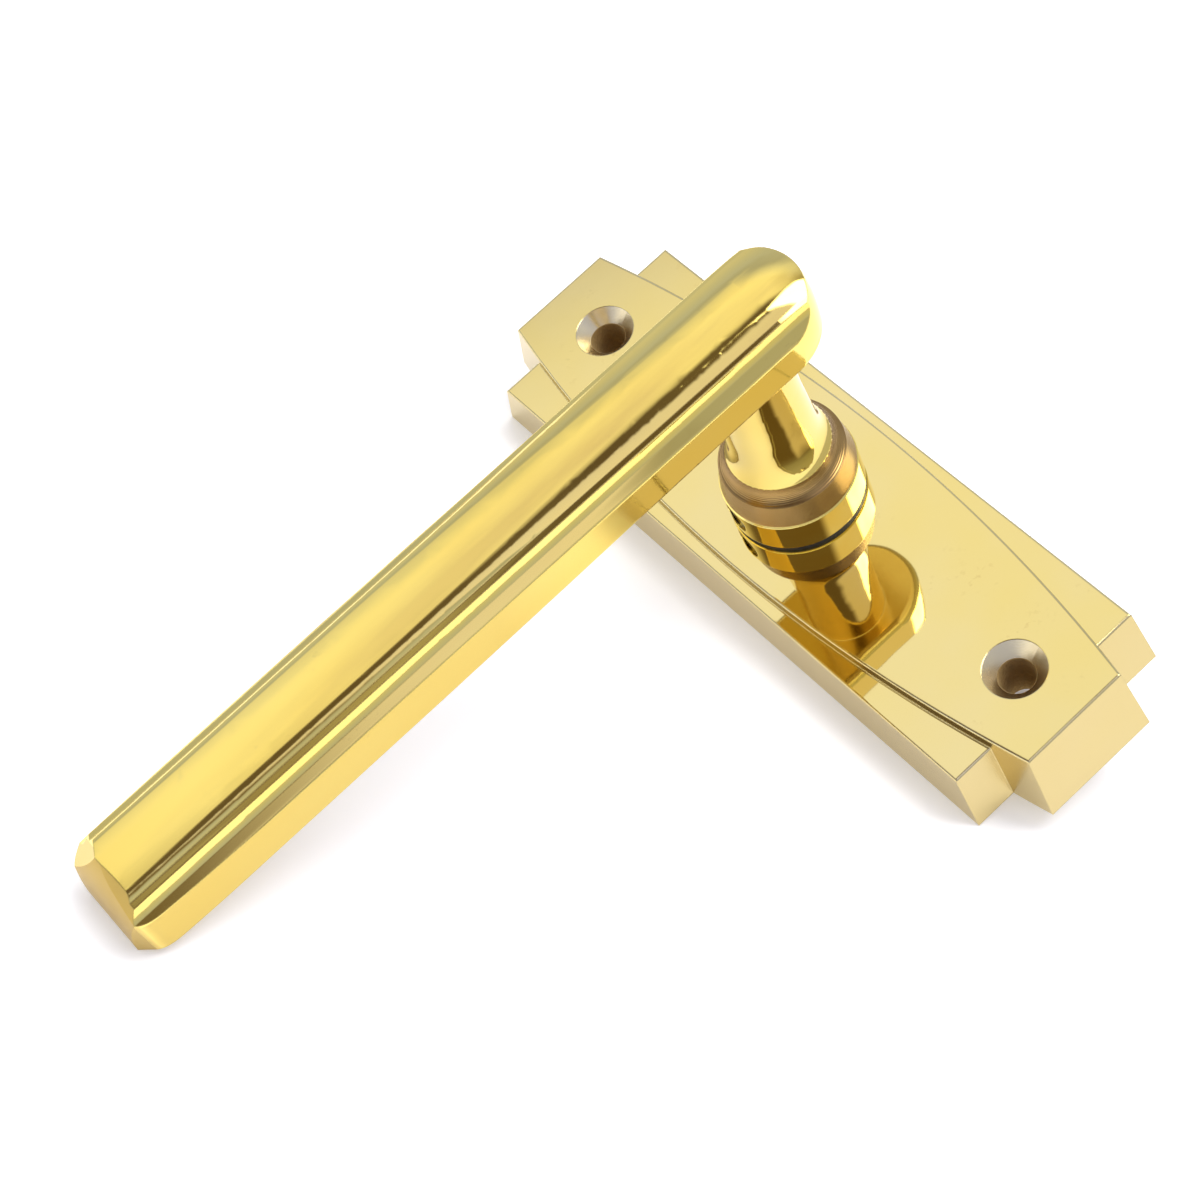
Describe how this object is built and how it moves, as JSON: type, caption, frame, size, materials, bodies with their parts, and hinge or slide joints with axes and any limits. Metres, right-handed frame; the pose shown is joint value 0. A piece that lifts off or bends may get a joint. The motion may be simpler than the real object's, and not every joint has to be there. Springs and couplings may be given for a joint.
{
  "type": "lever door handle",
  "caption": "Solid brass lever handle on a short stepped backplate with bowed panel, round collar, and a sprung return cassette in the hollow back; latch type, takes a square spindle.",
  "frame": {"origin": "on the lever's turning axis, in the plane of the backplate's back face, midway between the two fixing holes", "axes": "+Z out of the plate toward the user along the turning axis; Y along the plate's long axis; the lever points along -X at rest"},
  "size_m": [0.1298, 0.1192, 0.0575],
  "materials": {
    "polished_brass": "cast brass, hand polished to a mirror, unlacquered",
    "lever_brass": "cast brass, polished with a satin top and brushed end",
    "collar_brass": "turned brass, polished band and dull machined shoulder",
    "black_nylon": "moulded, matt",
    "bush_bronze": "sintered, oily and dull",
    "black_steel": "blackened, slight purple temper sheen",
    "spring_steel": "oiled drawn wire",
    "clip_steel": "phosphated stamping",
    "zinc_steel": "bright zinc plated pressing",
    "pin_steel": "ground dowel steel",
    "screw_steel": "zinc plated"
  },
  "bodies": {
    "plate": {"backplate": "polished_brass", "bearing_bush": "bush_bronze", "thrust_washer": "black_nylon", "stop_pins": "pin_steel", "spring_post": "pin_steel", "return_spring": "spring_steel", "cassette_cover": "zinc_steel", "cover_screws": "screw_steel"},
    "handle": {"lever": "lever_brass", "collar": "collar_brass", "grub_screw": "black_steel", "stop_plate": "zinc_steel", "shim_washer": "zinc_steel", "retaining_clip": "clip_steel"}
  },
  "joints": [
    {"name": "lever_turn", "type": "hinge", "parent": "plate", "child": "handle", "pos_m": [0, 0, 0.0114], "axis": [0, 0, 1], "range_deg": [-55, 55], "stiffness_Nm_per_rad": 1.2, "deforming": ["return_spring"]}
  ]
}
